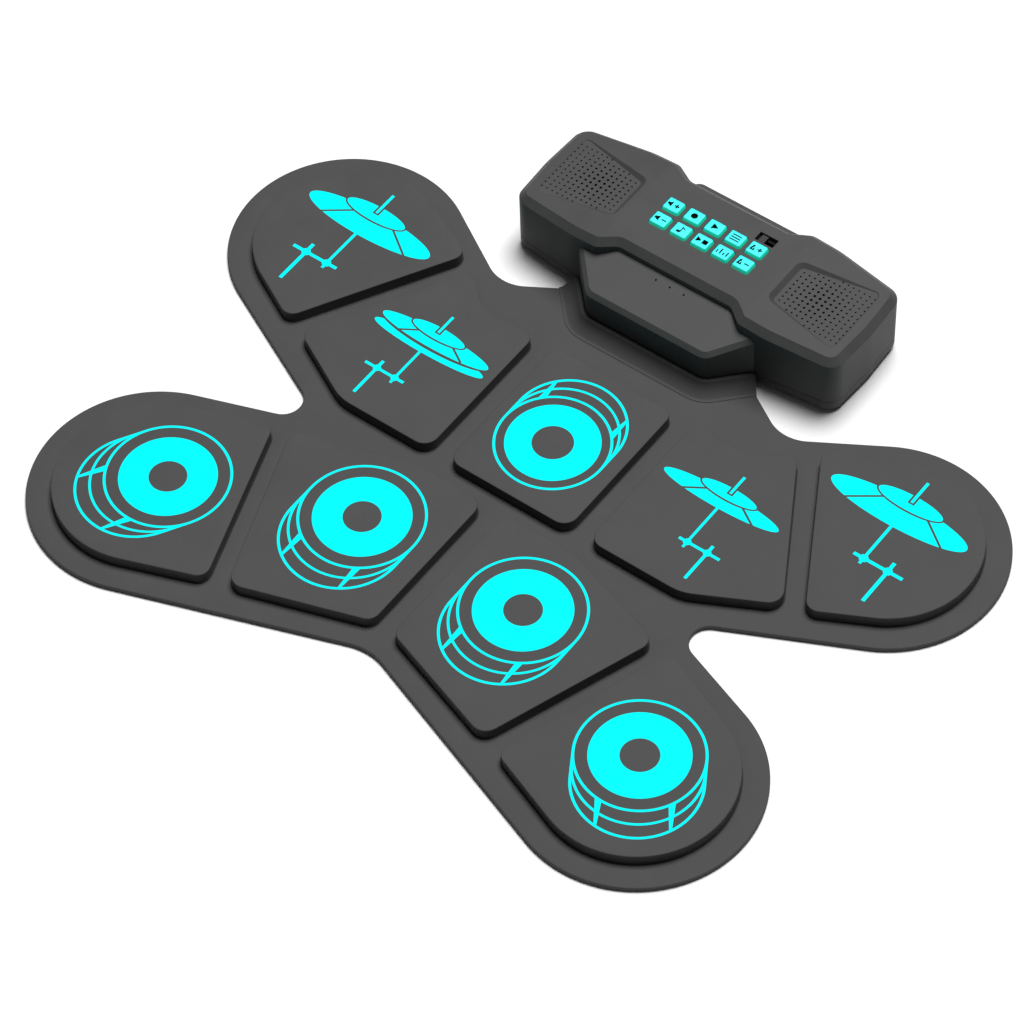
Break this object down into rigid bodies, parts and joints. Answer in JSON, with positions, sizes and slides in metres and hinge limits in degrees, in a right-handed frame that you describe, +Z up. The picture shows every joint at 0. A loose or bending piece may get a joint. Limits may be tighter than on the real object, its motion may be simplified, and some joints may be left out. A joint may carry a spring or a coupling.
{
  "type": "roll-up electronic drum pad",
  "caption": "Roll-up electronic drum pad: a soft winged mat with flush-sided striking pads and printed drum icons, hugging a grey console with speaker grilles and cyan keys.",
  "frame": {"origin": "on the ground under the middle of the whole kit", "axes": "+X along the mat to the player's right, +Y from the player to the console, +Z up"},
  "size_m": [0.5218, 0.4274, 0.0494],
  "materials": {
    "mat_silicone": "matt moulded silicone",
    "pad_silicone": "matt moulded silicone, darker on the side walls",
    "pad_print": "bright cyan printed ink",
    "case_plastic": "fine-textured injection moulding",
    "key_plastic": "cyan moulded keycaps, satin",
    "knob_plastic": "grey moulded knob",
    "black_plastic": "black moulded plastic",
    "sensor_film": "printed polyester film",
    "rubber": "soft black rubber",
    "circuit_board": "green solder mask",
    "steel": "zinc-plated steel",
    "magnet": "dark ferrite with zinc flash",
    "cone_paper": "black pressed paper",
    "battery_wrap": "shrink-wrap film",
    "lamp": "clear epoxy"
  },
  "bodies": {
    "kit": {"bass_pedal_jack": "black_plastic", "battery_pack": "battery_wrap", "battery_strap": "black_plastic", "board_screws": "steel", "bottom_case": "case_plastic", "case_screws": "steel", "dock_clamp_plate": "case_plastic", "dock_cover": "case_plastic", "headphone_jack": "black_plastic", "hi_hat_pedal_jack": "black_plastic", "indicator_leds": "lamp", "key_board": "circuit_board", "keypad_web": "rubber", "led_board": "circuit_board", "left_speaker_basket": "steel", "left_speaker_cone": "cone_paper", "left_speaker_gasket": "rubber", "left_speaker_magnet": "magnet", "main_board": "circuit_board", "mat_base_sheet": "mat_silicone", "mat_collar": "mat_silicone", "mat_top_skin": "mat_silicone", "pad_sensors": "sensor_film", "port_board": "circuit_board", "port_cover": "case_plastic", "ribbon_cable": "sensor_film", "right_speaker_basket": "steel", "right_speaker_cone": "cone_paper", "right_speaker_gasket": "rubber", "right_speaker_magnet": "magnet", "rubber_feet": "rubber", "sensor_film": "sensor_film", "slide_switch_body": "black_plastic", "top_case": "case_plastic", "usb_socket": "steel"},
    "bass_drum_head": {"bass_drum_pad": "pad_silicone"},
    "ride_head": {"ride_pad": "pad_silicone"},
    "hi_hat_head": {"hi_hat_pad": "pad_silicone"},
    "splash_head": {"splash_pad": "pad_silicone"},
    "crash_head": {"crash_pad": "pad_silicone"},
    "high_tom_head": {"high_tom_pad": "pad_silicone"},
    "snare_head": {"snare_pad": "pad_silicone"},
    "floor_tom_head": {"floor_tom_pad": "pad_silicone"},
    "low_tom_head": {"low_tom_pad": "pad_silicone"},
    "volume_up_button": {"volume_up_key": "key_plastic"},
    "record_button": {"record_key": "key_plastic"},
    "play_button": {"play_key": "key_plastic"},
    "style_button": {"style_key": "key_plastic"},
    "tempo_up_button": {"tempo_up_key": "key_plastic"},
    "volume_down_button": {"volume_down_key": "key_plastic"},
    "demo_button": {"demo_key": "key_plastic"},
    "start_stop_button": {"start_stop_key": "key_plastic"},
    "rhythm_button": {"rhythm_key": "key_plastic"},
    "tempo_down_button": {"tempo_down_key": "key_plastic"},
    "slide_knob": {"slide_switch_knob": "knob_plastic"}
  },
  "joints": [
    {"name": "bass_drum_strike", "type": "slide", "parent": "kit", "child": "bass_drum_head", "axis": [0, 0, 1], "range_m": [-0.0008, 0], "stiffness_N_per_m": 3000, "springref_m": 0.001},
    {"name": "ride_strike", "type": "slide", "parent": "kit", "child": "ride_head", "axis": [0, 0, 1], "range_m": [-0.0008, 0], "stiffness_N_per_m": 3000, "springref_m": 0.001},
    {"name": "hi_hat_strike", "type": "slide", "parent": "kit", "child": "hi_hat_head", "axis": [0, 0, 1], "range_m": [-0.0008, 0], "stiffness_N_per_m": 3000, "springref_m": 0.001},
    {"name": "splash_strike", "type": "slide", "parent": "kit", "child": "splash_head", "axis": [0, 0, 1], "range_m": [-0.0008, 0], "stiffness_N_per_m": 3000, "springref_m": 0.001},
    {"name": "crash_strike", "type": "slide", "parent": "kit", "child": "crash_head", "axis": [0, 0, 1], "range_m": [-0.0008, 0], "stiffness_N_per_m": 3000, "springref_m": 0.001},
    {"name": "high_tom_strike", "type": "slide", "parent": "kit", "child": "high_tom_head", "axis": [0, 0, 1], "range_m": [-0.0008, 0], "stiffness_N_per_m": 3000, "springref_m": 0.001},
    {"name": "snare_strike", "type": "slide", "parent": "kit", "child": "snare_head", "axis": [0, 0, 1], "range_m": [-0.0008, 0], "stiffness_N_per_m": 3000, "springref_m": 0.001},
    {"name": "floor_tom_strike", "type": "slide", "parent": "kit", "child": "floor_tom_head", "axis": [0, 0, 1], "range_m": [-0.0008, 0], "stiffness_N_per_m": 3000, "springref_m": 0.001},
    {"name": "low_tom_strike", "type": "slide", "parent": "kit", "child": "low_tom_head", "axis": [0, 0, 1], "range_m": [-0.0008, 0], "stiffness_N_per_m": 3000, "springref_m": 0.001},
    {"name": "volume_up_press", "type": "slide", "parent": "kit", "child": "volume_up_button", "axis": [0, 0, 1], "range_m": [-0.001, 0], "stiffness_N_per_m": 400, "springref_m": 0.001},
    {"name": "record_press", "type": "slide", "parent": "kit", "child": "record_button", "axis": [0, 0, 1], "range_m": [-0.001, 0], "stiffness_N_per_m": 400, "springref_m": 0.001},
    {"name": "play_press", "type": "slide", "parent": "kit", "child": "play_button", "axis": [0, 0, 1], "range_m": [-0.001, 0], "stiffness_N_per_m": 400, "springref_m": 0.001},
    {"name": "style_press", "type": "slide", "parent": "kit", "child": "style_button", "axis": [0, 0, 1], "range_m": [-0.001, 0], "stiffness_N_per_m": 400, "springref_m": 0.001},
    {"name": "tempo_up_press", "type": "slide", "parent": "kit", "child": "tempo_up_button", "axis": [0, 0, 1], "range_m": [-0.001, 0], "stiffness_N_per_m": 400, "springref_m": 0.001},
    {"name": "volume_down_press", "type": "slide", "parent": "kit", "child": "volume_down_button", "axis": [0, 0, 1], "range_m": [-0.001, 0], "stiffness_N_per_m": 400, "springref_m": 0.001},
    {"name": "demo_press", "type": "slide", "parent": "kit", "child": "demo_button", "axis": [0, 0, 1], "range_m": [-0.001, 0], "stiffness_N_per_m": 400, "springref_m": 0.001},
    {"name": "start_stop_press", "type": "slide", "parent": "kit", "child": "start_stop_button", "axis": [0, 0, 1], "range_m": [-0.001, 0], "stiffness_N_per_m": 400, "springref_m": 0.001},
    {"name": "rhythm_press", "type": "slide", "parent": "kit", "child": "rhythm_button", "axis": [0, 0, 1], "range_m": [-0.001, 0], "stiffness_N_per_m": 400, "springref_m": 0.001},
    {"name": "tempo_down_press", "type": "slide", "parent": "kit", "child": "tempo_down_button", "axis": [0, 0, 1], "range_m": [-0.001, 0], "stiffness_N_per_m": 400, "springref_m": 0.001},
    {"name": "power_slide", "type": "slide", "parent": "kit", "child": "slide_knob", "axis": [1, 0, 0], "range_m": [0, 0.0045]}
  ]
}
